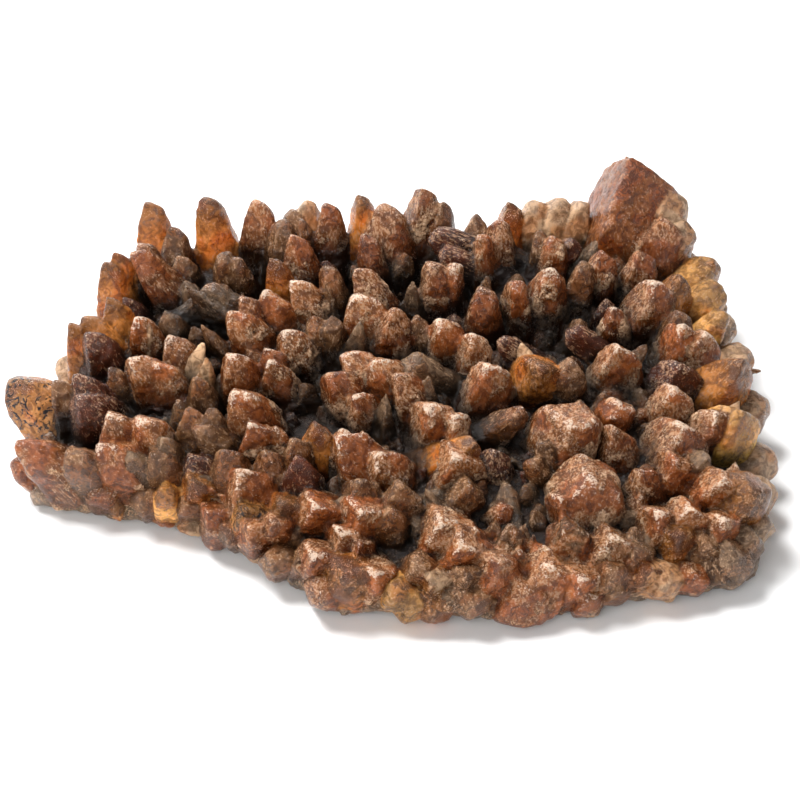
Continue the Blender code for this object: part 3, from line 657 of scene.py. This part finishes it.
class Level:
    """Height of the large crystals' tips over the cluster, kept on a square grid."""

    STEP = 4.0
    HALF = 40

    def __init__(self, bodies):
        ticks = np.arange(-self.HALF, self.HALF + 1) * self.STEP
        x, y = np.meshgrid(ticks, ticks, indexing="ij")
        total = np.zeros(x.shape)
        weights = np.zeros(x.shape)
        for body in bodies:
            weight = 1.0 / (4.0 + (x - body.tip[0]) ** 2 + (y - body.tip[1]) ** 2) ** 1.5
            total += weight * body.tip[2]
            weights += weight
        self.grid = total / weights

    def __call__(self, points):
        place = np.clip(points[:, :2] / self.STEP + self.HALF, 0, 2 * self.HALF - 1.001)
        cell = place.astype(int)
        part = place - cell
        i, j = cell.T
        u, v = part.T
        low = self.grid[i, j] * (1 - v) + self.grid[i, j + 1] * v
        high = self.grid[i + 1, j] * (1 - v) + self.grid[i + 1, j + 1] * v
        return low * (1 - u) + high * u


def look_of(points, normal, bodies, seed):
    """The look of each point, from the body it lies on and its place on that body."""
    owner, depth = owners(points, bodies)
    look = {key: np.array([TONES[body.tone][place] for body in bodies])[owner]
            for place, key in enumerate(TONE_KEYS)}
    low_side = normal @ unit(np.array(LOW_SIDE))
    window = smoothstep(0.0, 0.22, layered(points, 6.0, seed + 83, 2) + 0.22 * low_side)
    look["flecks"] = 0.7 * smoothstep(0.0, 0.5, look["crust"]) + 0.3 * smoothstep(-60.0, 10.0, points[:, 0])
    crust = look["crust"] * (0.45 + 0.55 * smoothstep(0.1, 0.9, depth)) + 0.16 * low_side
    crust += 0.62 * layered(points, 5.2, seed + 11) + 0.30 * layered(points, 1.8, seed + 23, 2)
    crust -= 0.20 * smoothstep(10.0, -60.0, points[:, 0])
    look["crust"] = crust - 0.45 * window
    look.update(owner=owner, depth=depth, window=window)
    return look


def relief_of(points, crust, seed):
    """How far each point stands out: lumps, grains and the pits of the crust."""
    relief = 0.40 * layered(points, 6.0, seed + 31, 2) + 0.26 * layered(points, 2.0, seed + 41, 2)
    relief += 0.18 - 0.45 * np.abs(noise(points, 3.4, seed + 47))
    skin = smoothstep(0.35, 0.6, crust)
    pits = smoothstep(0.25, 0.55, layered(points, 2.4, seed + 53, 2))
    return relief + skin * (0.18 + 0.36 * noise(points, 1.4, seed + 61)) - 0.75 * skin * pits


def growth(name, bodies, material, seed):
    """Fused piece of many bodies with its relief, and the look of each point as attributes."""
    points, faces = fused(name, *joined(bodies), CRYSTAL_VOXEL)
    points = smoothed(points, faces, 0.5, 1)
    normal = normals_of(points, faces)
    crust = look_of(points, normal, bodies, seed)["crust"]
    points = points + normal * relief_of(points, crust, seed)[:, None]
    points, faces = thinned(name, points, faces, min(MOST_TRIANGLES, 2 * KEPT_SHARE * len(faces)))
    normal = normals_of(points, faces)
    look = look_of(points, normal, bodies, seed)
    owner, depth, window = look["owner"], look["depth"], look["window"]

    # Bulge of the surface: ridges get painted highlight with the frost, creases get painted shade
    bulge = ((points - smoothed(points, faces, 1.0, 4)) * normal).sum(axis=1)
    ridge = smoothstep(0.05, 0.42, bulge)
    crease = smoothstep(-0.05, -0.55, bulge)
    # White frost near the tips, with painted highlight that is lighter on upward faces and on ridges
    frost_and_highlight = look["frost_and_highlight"] * smoothstep(0.65, 0.0, depth) * smoothstep(-0.2, 0.6, normal[:, 2])
    frost_and_highlight = frost_and_highlight * (0.32 + 0.32 * ridge) + 0.22 * ridge * look["frost_and_highlight"]

    jitter = np.array([chance_of(body.index, seed) for body in bodies])[owner]
    tone = (0.80 + 0.40 * jitter) * (1.0 + 0.16 * layered(points, 9.0, seed + 71, 2))
    # Lighter near the tip and darker towards the root: partly the crystals' own zoning, partly painted
    # shade
    dim = 1.25 - 0.60 * smoothstep(0.1, 1.4, depth)
    # On glowing tones, painted glow of light passing through: a darker tip and a brighter band above the
    # root
    lit = 0.45 + 0.85 * smoothstep(0.15, 0.8, depth) - 0.65 * smoothstep(1.2, 2.6, depth)
    tone *= dim + (lit - dim) * look["painted_glow"]
    rich = 1.0 + window[:, None] * np.array(WINDOW_TINT)
    # Painted shade: darker towards each crystal's root, in the gaps below the tips' level and in creases,
    # less so near the crust's edge; it also lessens the transmission and the flecks towards the root
    foot = smoothstep(0.5, 1.7, depth) * (1.0 - 0.8 * look["painted_glow"])
    gap_shade = smoothstep(*GAP_SHADE_DEPTHS, level_of(points) - points[:, 2])
    shade = 1.0 - (0.90 * gap_shade + 0.25 * foot).clip(0.0, 0.93) * smoothstep(0.0, 14.0, edge_reach(points))
    shade *= 1.0 - 0.75 * crease

    axes = np.array([body.axis for body in bodies])[owner]
    along = (points * axes).sum(axis=1)
    made = piece(name, points, faces, material)
    put(made.data, "grain", (points - GRAIN * along[:, None] * axes) * MM, "FLOAT_VECTOR", "vector")
    put_colour(made.data, "base", look["base"] * rich * tone[:, None])
    put(made.data, "clear", (look["clear"] + 0.2 * window) * shade)
    put(made.data, "flecks", look["flecks"] * (1.0 - 0.8 * window) - 0.25 * foot)
    put(made.data, "crust", look["crust"])
    put(made.data, "frost_and_highlight", frost_and_highlight)
    put(made.data, "specks", look["specks"])
    put(made.data, "shade", shade)


def piece(name, points, faces, material):
    """Object of the scene from points in millimetres, riding on the cluster."""
    placed = (points - CENTRE) * MM
    placed[:, 2] = np.maximum(placed[:, 2], 0.0)
    mesh = mesh_from(name, placed, faces)
    mesh.shade_smooth()
    mesh.materials.append(material)
    made = bpy.data.objects.new(name, mesh)
    bpy.context.scene.collection.objects.link(made)
    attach(made, "root")
    return made


def put(mesh, name, values, kind="FLOAT", field="value"):
    """One value, vector or colour for each point of a mesh."""
    layer = mesh.attributes.new(name, kind, "POINT")
    layer.data.foreach_set(field, np.asarray(values, np.float32).ravel())


def put_colour(mesh, name, colours):
    """One opaque colour for each point of a mesh."""
    full = np.column_stack([np.clip(colours, 0.0, 1.0), np.ones(len(colours))])
    put(mesh, name, full, "FLOAT_COLOR", "color")


class Nodes:
    """Short calls for building a material's node tree."""

    def __init__(self, material):
        self.tree = material.node_tree

    def add(self, kind, **settings):
        node = self.tree.nodes.new(kind)
        for key, value in settings.items():
            setattr(node, key, value)
        return node

    def link(self, source, target):
        self.tree.links.new(source, target)

    def feed(self, socket, value):
        if isinstance(value, bpy.types.NodeSocket):
            self.link(value, socket)
        else:
            socket.default_value = value

    def attribute(self, name, output="Fac"):
        return self.add("ShaderNodeAttribute", attribute_name=name).outputs[output]

    def place(self):
        return self.add("ShaderNodeTexCoord").outputs["Object"]

    def noise(self, scale, detail=3.0, roughness=0.55, distortion=0.0, place=None):
        node = self.add("ShaderNodeTexNoise")
        self.link(place or self.place(), node.inputs["Vector"])
        values = dict(Scale=scale, Detail=detail, Roughness=roughness, Distortion=distortion)
        for key, value in values.items():
            node.inputs[key].default_value = value
        return node.outputs["Fac"]

    def cells(self, scale):
        """Random colour of each small cell."""
        node = self.add("ShaderNodeTexVoronoi", feature="F1")
        self.link(self.place(), node.inputs["Vector"])
        node.inputs["Scale"].default_value = scale
        return node.outputs["Color"]

    def vector(self, operation, *values):
        node = self.add("ShaderNodeVectorMath", operation=operation)
        for socket, value in zip(node.inputs, values):
            self.feed(socket, value)
        return node.outputs["Vector"]

    def math(self, operation, a, b=0.0, clamp=False):
        node = self.add("ShaderNodeMath", operation=operation, use_clamp=clamp)
        self.feed(node.inputs[0], a)
        self.feed(node.inputs[1], b)
        return node.outputs[0]

    def swing(self, value, share):
        """Noise as a value that swings to both sides of nought."""
        return self.math("MULTIPLY", self.math("SUBTRACT", value, 0.5), share)

    def span(self, value, low, high, to_low=0.0, to_high=1.0):
        node = self.add("ShaderNodeMapRange", interpolation_type="SMOOTHSTEP")
        self.feed(node.inputs["Value"], value)
        node.inputs["From Min"].default_value = low
        node.inputs["From Max"].default_value = high
        node.inputs["To Min"].default_value = to_low
        node.inputs["To Max"].default_value = to_high
        return node.outputs["Result"]

    def mix(self, factor, a, b, blend="MIX"):
        node = self.add("ShaderNodeMix", data_type="RGBA", blend_type=blend)
        self.feed(node.inputs[0], factor)
        self.feed(node.inputs[6], a)
        self.feed(node.inputs[7], b)
        return node.outputs[2]

    def ramp(self, value, stops):
        node = self.add("ShaderNodeValToRGB")
        self.feed(node.inputs["Fac"], value)
        points = node.color_ramp.elements
        for number, (position, colour) in enumerate(stops):
            point = points[number] if number < 2 else points.new(position)
            point.position = position
            point.color = (*colour, 1.0)
        return node.outputs["Color"]


def calcite():
    """Amber calcite: clear or cloudy brown crystal, tan pitted crust, frosted tips with painted highlight,
    specks and painted shade.
    """
    material = bpy.data.materials.new("amber_calcite_surface")
    material.use_nodes = True
    nodes = Nodes(material)
    surface = material.node_tree.nodes["Principled BSDF"]
    output = material.node_tree.nodes["Material Output"]

    grain = nodes.attribute("grain", "Vector")
    fine = nodes.noise(FINE_SCALE, 4.0, 0.72)
    scratch = nodes.noise(FINE_SCALE, 4.0, 0.78, 0.4, grain)
    broad = nodes.noise(BROAD_SCALE, 4.0, 0.60, 0.8)

    def tinted(value, low, high, colour):
        """Layer mask from a value, and the colour below covered by it."""
        mask = nodes.span(value, low, high)
        return mask, lambda under, share=1.0: nodes.mix(
            nodes.math("MULTIPLY", mask, share), under, colour)

    base = nodes.attribute("base", "Color")
    dark = nodes.mix(1.0, base, DARKER, "MULTIPLY")
    light = nodes.mix(1.0, base, LIGHTER, "MULTIPLY")
    body = nodes.mix(nodes.span(broad, 0.38, 0.62), dark, light)
    thin = nodes.math("MULTIPLY", nodes.attribute("flecks"), 0.10)
    thin = nodes.math("ADD", nodes.math("ADD", scratch, thin), nodes.swing(broad, 0.35))
    flecks, cover = tinted(thin, 0.61, 0.65, FLECKS)
    body = cover(body, 0.62)

    crumbs = nodes.math("ADD", nodes.swing(fine, 1.5), nodes.swing(scratch, 0.7))
    crust = nodes.span(nodes.math("ADD", nodes.attribute("crust"), crumbs), 0.50, 0.56)
    crust_colour = nodes.ramp(nodes.noise(CRUST_SCALE, 5.0, 0.78), CRUST_STOPS)
    colour = nodes.mix(crust, body, crust_colour)

    # White frost with painted highlight, from the attribute and fine noise
    rime_and_highlight = nodes.math("ADD", nodes.attribute("frost_and_highlight"), nodes.swing(fine, 2.6))
    frost_and_highlight, cover = tinted(rime_and_highlight, 0.62, 0.74, FROST_AND_HIGHLIGHT)
    colour = cover(colour, 0.85)

    spots = nodes.math("MULTIPLY", nodes.attribute("specks"), 0.12)
    spots = nodes.span(nodes.math("ADD", nodes.noise(SPECK_SCALE, 6.0, 0.66, 1.6), spots), 0.64, 0.68)
    specks = nodes.math("MULTIPLY", nodes.attribute("specks"), spots, True)
    colour = nodes.mix(specks, colour, SPECKS)
    # Painted shade from the shade attribute darkens the whole colour
    colour = nodes.mix(1.0, colour, nodes.attribute("shade"), "MULTIPLY")
    nodes.link(colour, surface.inputs["Base Color"])

    covered = nodes.math("ADD", crust, nodes.math("ADD", nodes.math("MULTIPLY", frost_and_highlight, 0.8), specks))
    covered = nodes.math("ADD", covered, nodes.math("MULTIPLY", flecks, 0.5))
    cloudy = nodes.math("SUBTRACT", 1.0, covered, True)
    nodes.link(nodes.math("MULTIPLY", nodes.attribute("clear"), cloudy, True),
               surface.inputs["Transmission Weight"])

    rough = nodes.span(nodes.noise(GLOSS_SCALE), 0.3, 0.7, *ROUGHNESS)
    rough = nodes.math("ADD", rough, nodes.math("MULTIPLY", crust, 0.35), True)
    nodes.link(rough, surface.inputs["Roughness"])
    surface.inputs["IOR"].default_value = REFRACTION
    surface.inputs["Specular IOR Level"].default_value = SPECULAR

    bump = nodes.add("ShaderNodeBump")
    height = nodes.math("ADD", nodes.math("MULTIPLY", scratch, 0.8), nodes.math("MULTIPLY", crust, 0.5))
    nodes.link(height, bump.inputs["Height"])
    bump.inputs["Strength"].default_value = BUMP_STRENGTH
    bump.inputs["Distance"].default_value = BUMP_DEPTH
    loose = nodes.math("ADD", nodes.math("MULTIPLY", crust, 0.5), nodes.math("ADD", frost_and_highlight, 0.12), True)
    tilt = nodes.vector("SUBTRACT", nodes.cells(FACET_SCALE), (0.5, 0.5, 0.5))
    tilt = nodes.vector("MULTIPLY", tilt, loose)
    facets = nodes.vector("NORMALIZE", nodes.vector("ADD", bump.outputs["Normal"], tilt))
    nodes.link(facets, surface.inputs["Normal"])

    absorb = nodes.add("ShaderNodeVolumeAbsorption")
    absorb.inputs["Color"].default_value = ABSORBED
    absorb.inputs["Density"].default_value = ABSORPTION
    nodes.link(absorb.outputs["Volume"], output.inputs["Volume"])
    return material


def main_crystals():
    """The part's crystals by region, then those in the gaps."""
    made = {}
    index = 0
    for name, rows, fullness, slant in REGIONS:
        made[name] = []
        for x, y, z, width, lean_right, lean_back, kind in rows:
            *habit, tone = kind.split()
            row = (x, y, z, width * fullness, lean_right, lean_back, *(habit or ["tooth"]), slant)
            made[name].append(Crystal(index, row, tone))
            index += 1
    gaps = [Crystal(GAP_NUMBER + number, (x, y, z - 3, width, *lean, "tooth", 6),
                    GAP_TONES[number % len(GAP_TONES)])
            for number, (x, y, z, width, *lean) in enumerate(GAPS)]
    return made, gaps


def leans(axis):
    """The two leans of an axis, in degrees."""
    return math.degrees(math.atan2(axis[0], axis[2])), math.degrees(math.atan2(axis[1], axis[2]))


def offshoots(parents, first):
    """Smaller crystals that grew nearly parallel on the flanks of the large ones."""
    made = []
    for parent in parents:
        chance = random.Random(parent.index * 17 + 3)
        if parent.habit in ("spire", "lying") or parent.width < 10.5:
            continue
        across, up = beside(parent.axis)
        for _ in range(1 + int(parent.width > 13) + int(parent.width > 17) + int(parent.width > 21)):
            turn = chance.uniform(0, 2 * math.pi)
            out = math.cos(turn) * across + math.sin(turn) * up
            depth = chance.uniform(0.65, 1.5)
            tip = parent.tip - parent.axis * parent.width * depth
            tip = tip + out * parent.width * min(0.5, 0.20 + 0.26 * depth)
            axis = unit(parent.axis + out * chance.uniform(0.10, 0.42))
            if axis[2] < 0.35 or tip[2] < ROOT_HEIGHT + 4:
                continue
            width = parent.width * chance.uniform(0.24, 0.40)
            row = (*tip, width, *leans(axis), chance.choice(("tooth", "stout", "tooth")), 0)
            made.append(Crystal(first + len(made), row, parent.tone))
    return made


def small_growth(mains, first):
    """Little crystals crowding the floor between the large ones."""
    chance = random.Random(41)
    step = 6.2
    made = []
    for i in range(-22, 23):
        for j in range(-16, 17):
            x = (i + chance.uniform(-0.45, 0.45)) * step
            y = (j + chance.uniform(-0.45, 0.45)) * step
            drop = chance.uniform(12.0, 24.0)
            width = chance.uniform(4.0, 8.0)
            lean = (chance.gauss(0, 16), chance.gauss(-4, 16))
            kind = chance.random()
            inside = edge_reach(np.array([[x, y]]))[0]
            if inside < 9.0:
                continue
            if any(math.hypot(x - cx, y - cy) < radius for cx, cy, radius in CLEFTS):
                drop += CLEFT_DROP
            level = float(level_of(np.array([[x, y, 0.0]]))[0])
            ground = float(np.interp(inside, *CRUST_TOP))
            z = max(level - drop, ground + 0.75 * width)
            here = np.array([[x, y, z]])
            if any(body.measure(here)[0] < 1.02 for body in mains
                   if abs(body.tip[0] - x) < 22 and abs(body.tip[1] - y) < 22):
                continue
            habit = "spire" if kind < 0.5 else "tooth" if kind < 0.9 else "stout"
            tone = "OGMFGRO"[int(chance.random() * 7)]
            made.append(Crystal(first + len(made), (x, y, z, width, *lean, habit, 0), tone))
    return made


def rim_chips(first):
    """Broken crust along the edge: cleaved pieces, pale and clear."""
    chance = random.Random(77)
    made = []
    for (x0, y0), (x1, y1) in zip(PLATE, PLATE[1:] + PLATE[:1]):
        length = math.hypot(x1 - x0, y1 - y0)
        for n in range(int(length / 4.2)):
            t = (n + chance.random()) / int(length / 4.2)
            inset = chance.uniform(0.88, 0.955)
            x, y = (x0 + t * (x1 - x0)) * inset, (y0 + t * (y1 - y0)) * inset
            size = chance.uniform(1.8, 3.8)
            z = max(chance.uniform(4.0, 11.0), size + 2.5)
            tone = "PGOAROGP"[int(chance.random() * 8)]
            made.append(Chip(first + len(made), (x, y, z), size, tone))
    return made


def plate_body():
    """Crust below the crystals: a lumpy plate with a flat foot and a broken edge."""
    outline = []
    for (x0, y0), (x1, y1) in zip(PLATE, PLATE[1:] + PLATE[:1]):
        outline += [(x0 + (x1 - x0) * n / 6, y0 + (y1 - y0) * n / 6) for n in range(6)]
    chance = random.Random(12)
    points = []
    for inset, height in PLATE_RINGS:
        for x, y in outline:
            reach = math.hypot(x, y)
            scale = (reach - inset - 2.0 - chance.uniform(0.0, 2.5)) / reach
            points.append((x * scale, y * scale, height + (chance.uniform(-1, 1) if height else 0)))
    count = len(outline)
    faces = []
    for ring in range(len(PLATE_RINGS) - 1):
        for n in range(count):
            a, b = ring * count + n, ring * count + (n + 1) % count
            faces.append((a, b, b + count))
            faces.append((a, b + count, a + count))
    points += [(0.0, 0.0, 0.0), (0.0, 0.0, PLATE_RINGS[-1][1])]
    foot, top = len(points) - 2, len(points) - 1
    last = (len(PLATE_RINGS) - 1) * count
    for n in range(count):
        faces.append((n, foot, (n + 1) % count))
        faces.append((last + n, last + (n + 1) % count, top))
    return np.array(points, float), np.array(faces)


def crust_piece(material):
    """The crust: pale and clear along its broken edge, darker in tone and in painted shade below the
    crystals.
    """
    points, faces = fused("crust", *plate_body(), CRUST_VOXEL)
    lumps = 1.3 * layered(points, 6.0, 5) + 0.7 * layered(points, 2.6, 9)
    lumps = lumps * smoothstep(0.2, 2.5, points[:, 2])
    points = points + normals_of(points, faces) * lumps[:, None]
    made = piece("crust", points, faces, material)
    edge = smoothstep(16.0, 8.0, points[:, 2])
    base = np.array(TONES["P"][0]) * edge[:, None] + np.array(TONES["M"][0]) * (1 - edge)[:, None]
    put_colour(made.data, "base", base * (0.8 + 0.3 * layered(points, 14.0, 15))[:, None])
    put(made.data, "clear", 0.35 + 0.35 * edge)
    put(made.data, "crust", 0.15 + 0.2 * edge + 0.4 * layered(points, 6.0, 19))
    # Painted shade on the crust's upper side, below the crystals
    put(made.data, "shade", 0.14 + 0.86 * edge)
    for name, value in (("frost_and_highlight", 0.0), ("specks", 0.3), ("flecks", 0.6)):
        put(made.data, name, np.full(len(points), value))
    put(made.data, "grain", points * MM, "FLOAT_VECTOR", "vector")
    return made


def stage():
    """Pale floor, soft light from all round and from the upper left, and the camera."""
    floor_mesh = bpy.data.meshes.new("floor")
    half = FLOOR_HALF
    floor_mesh.from_pydata([(-half, -half, 0), (half, -half, 0), (half, half, 0), (-half, half, 0)],
                           [], [(0, 1, 2, 3)])
    floor = bpy.data.objects.new("floor", floor_mesh)
    bpy.context.scene.collection.objects.link(floor)
    paper = bpy.data.materials.new("paper")
    paper.use_nodes = True
    matt = paper.node_tree.nodes["Principled BSDF"].inputs
    matt["Base Color"].default_value = (FLOOR_GREY, FLOOR_GREY, FLOOR_GREY, 1.0)
    matt["Roughness"].default_value = 0.9
    floor_mesh.materials.append(paper)

    world = bpy.data.worlds.new("studio")
    world.use_nodes = True
    sky = world.node_tree.nodes["Background"].inputs
    sky["Color"].default_value = (1.0, 1.0, 1.0, 1.0)
    sky["Strength"].default_value = WORLD_LIGHT
    bpy.context.scene.world = world

    for name, place, size, power in LAMPS:
        lamp = bpy.data.lights.new(name, "AREA")
        lamp.size = size
        lamp.energy = power
        made = bpy.data.objects.new(name, lamp)
        made.location = place
        toward = np.array(LAMP_AIM) - np.array(place)
        made.rotation_euler = (math.atan2(math.hypot(toward[0], toward[1]), -toward[2]), 0,
                               math.atan2(toward[1], toward[0]) - math.pi / 2)
        bpy.context.scene.collection.objects.link(made)

    tilt = math.radians(CAMERA_ELEVATION)
    lens = bpy.data.cameras.new("camera")
    lens.lens = CAMERA_LENS
    lens.sensor_width = CAMERA_SENSOR
    camera = bpy.data.objects.new("camera", lens)
    target = np.array([0.0, 0.0, CAMERA_HEIGHT]) - CENTRE
    back = CAMERA_DISTANCE * np.array([0.0, -math.cos(tilt), math.sin(tilt)])
    camera.location = (target + back) * MM
    camera.rotation_euler = (math.pi / 2 - tilt, 0, 0)
    bpy.context.scene.collection.objects.link(camera)
    bpy.context.scene.camera = camera
    bpy.context.scene.view_settings.view_transform = "Standard"


regions, gaps = main_crystals()
mains = [body for name in regions for body in regions[name]]
level_of = Level(mains)
material = calcite()
little = small_growth(mains + gaps, LITTLE_NUMBER)
everything = {name: list(bodies) for name, bodies in regions.items()}
for number, (name, bodies) in enumerate(regions.items()):
    if name != "rim":
        everything[name] += offshoots(bodies, OFFSHOOT_NUMBER + OFFSHOOT_STEP * number)
everything["rim"] += rim_chips(CHIP_NUMBER)
centres = {name: np.array([body.tip[:2] for body in bodies]) for name, bodies in regions.items()}
for body in gaps + little:
    nearest = min((name for name in centres if name != "rim"),
                  key=lambda name: np.hypot(*(centres[name] - body.tip[:2]).T).min())
    everything[nearest].append(body)

for number, (name, bodies) in enumerate(everything.items()):
    growth(f"crystals_{name}", bodies, material, 100 * number)

crust = crust_piece(material)
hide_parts("calcite_cluster")

stage()
